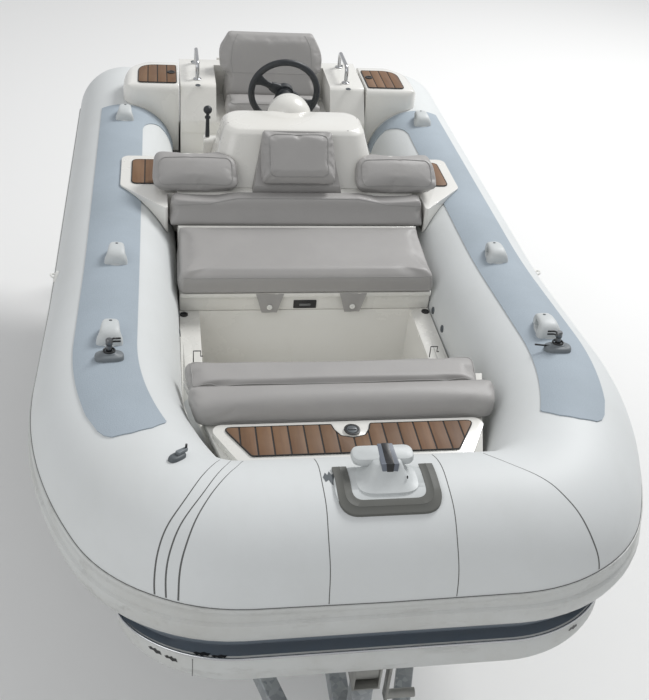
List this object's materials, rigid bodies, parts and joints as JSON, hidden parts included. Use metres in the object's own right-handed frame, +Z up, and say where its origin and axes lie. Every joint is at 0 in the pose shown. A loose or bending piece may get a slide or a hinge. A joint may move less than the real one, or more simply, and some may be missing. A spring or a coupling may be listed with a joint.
{
  "type": "inflatable rib boat on its road trailer",
  "caption": "Small rigid-hulled inflatable boat with console, cushioned seats and jet drive, resting on a galvanised road trailer with a jockey wheel.",
  "frame": {"origin": "on the ground, below the middle of the whole outline", "axes": "+X to port, +Y aft, +Z up"},
  "size_m": [1.7002, 3.882, 1.4912],
  "materials": {
    "collar": "matt coated fabric",
    "patch": "non-skid coated fabric",
    "strake": "matt fender rubber",
    "hull": "gelcoat",
    "moulding": "white gelcoat",
    "teak": "oiled planks with black caulk",
    "vinyl": "stitched grained vinyl",
    "dark_grip": "soft touch",
    "stainless": "polished",
    "engine": "painted",
    "jet_metal": "cast and painted",
    "fitting": "moulded",
    "grey_fitting": "moulded",
    "galvanised": "hot-dip galvanised",
    "rim_paint": "silver paint",
    "tyre_rubber": "black rubber",
    "bunk_carpet": "marine carpet over board",
    "roller_rubber": "black rubber on a bracket",
    "winch_metal": "zinc and black strap",
    "board": "plain board",
    "lamp": "red lens"
  },
  "bodies": {
    "boat": {"tube_collar": "collar", "tube_patches": "patch", "rub_strake": "strake", "bow_lip": "strake", "hull_shell": "hull", "deck_liner": "moulding", "bow_step": "moulding", "bench_base": "moulding", "mid_thwart": "moulding", "side_steps": "moulding", "console": "moulding", "pad_shell": "moulding", "dash_column": "moulding", "engine_bay": "moulding", "aft_pods": "moulding", "teak_mid": "teak", "teak_aft": "teak", "bow_bolster": "vinyl", "bow_cushion": "vinyl", "bench_back": "vinyl", "centre_pad": "vinyl", "side_pads": "vinyl", "throttle": "dark_grip", "engine_block": "engine", "jet_duct": "jet_metal", "intake_grate": "jet_metal", "grab_handles": "fitting", "bow_cleat": "fitting", "rowlocks": "grey_fitting", "tube_fittings": "grey_fitting", "trailer_frame": "galvanised", "trailer_axle": "galvanised", "winch_post": "galvanised", "mudguards": "galvanised", "coupling": "galvanised", "jockey_sleeve": "galvanised", "bunks": "bunk_carpet", "keel_roller": "roller_rubber", "winch": "winch_metal", "lamp_board": "board", "lamps": "lamp"},
    "bow_lid": {"bow_locker_lid": "moulding", "teak_bow": "teak"},
    "bench_seat": {"bench_lid": "moulding", "bench_cushion": "vinyl"},
    "hatch": {"engine_hatch": "moulding", "helm_seat": "vinyl", "helm_back": "vinyl", "hatch_handles": "stainless"},
    "steering": {"steering_wheel": "dark_grip"},
    "nozzle": {"jet_nozzle": "jet_metal"},
    "bucket": {"reverse_bucket": "jet_metal"},
    "rotor": {"impeller": "jet_metal"},
    "road_wheel_left": {"tyre_left": "tyre_rubber", "rim_left": "rim_paint"},
    "road_wheel_right": {"tyre_right": "tyre_rubber", "rim_right": "rim_paint"},
    "jockey_slider": {"jockey_leg": "galvanised"},
    "jockey_caster": {"jockey_fork": "galvanised"},
    "jockey_roller": {"jockey_wheel": "tyre_rubber"}
  },
  "joints": [
    {"name": "bow_lid_hinge", "type": "hinge", "parent": "boat", "child": "bow_lid", "pos_m": [0, -0.823, 1.1163], "axis": [1, 0, 0], "range_deg": [0, 75]},
    {"name": "bench_lid_hinge", "type": "hinge", "parent": "boat", "child": "bench_seat", "pos_m": [0, 0.397, 1.102], "axis": [-1, 0, 0], "range_deg": [0, 80]},
    {"name": "hatch_hinge", "type": "hinge", "parent": "boat", "child": "hatch", "pos_m": [0, 1.694, 1.235], "axis": [-1, 0, 0], "range_deg": [0, 60]},
    {"name": "steering_turn", "type": "hinge", "parent": "boat", "child": "steering", "pos_m": [0, 1.031, 1.35], "axis": [0, 0.9903, 0.1392], "range_deg": [-270, 270]},
    {"name": "nozzle_steer", "type": "hinge", "parent": "boat", "child": "nozzle", "pos_m": [0, 1.791, 0.578], "axis": [0, 0, 1], "range_deg": [-23, 23]},
    {"name": "bucket_swing", "type": "hinge", "parent": "boat", "child": "bucket", "pos_m": [0, 1.809, 0.578], "axis": [-1, 0, 0], "range_deg": [0, 65]},
    {"name": "impeller_spin", "type": "hinge", "parent": "boat", "child": "rotor", "pos_m": [0, 1.641, 0.578], "axis": [0, 1, 0], "continuous": true},
    {"name": "wheel_left_spin", "type": "hinge", "parent": "boat", "child": "road_wheel_left", "pos_m": [0.705, 0.801, 0.248], "axis": [1, 0, 0], "continuous": true},
    {"name": "wheel_right_spin", "type": "hinge", "parent": "boat", "child": "road_wheel_right", "pos_m": [-0.705, 0.801, 0.248], "axis": [1, 0, 0], "continuous": true},
    {"name": "jockey_lift", "type": "slide", "parent": "boat", "child": "jockey_slider", "axis": [0, 0, 1], "range_m": [0, 0.085]},
    {"name": "jockey_swivel", "type": "hinge", "parent": "jockey_slider", "child": "jockey_caster", "pos_m": [0.084, -1.639, 0.24], "axis": [0, 0, 1], "continuous": true},
    {"name": "jockey_spin", "type": "hinge", "parent": "jockey_caster", "child": "jockey_roller", "pos_m": [0.084, -1.594, 0.1], "axis": [1, 0, 0], "continuous": true}
  ],
  "couplings": [
    {"joint": "nozzle_steer", "follows": "steering_turn", "ratio": 0.0815}
  ]
}
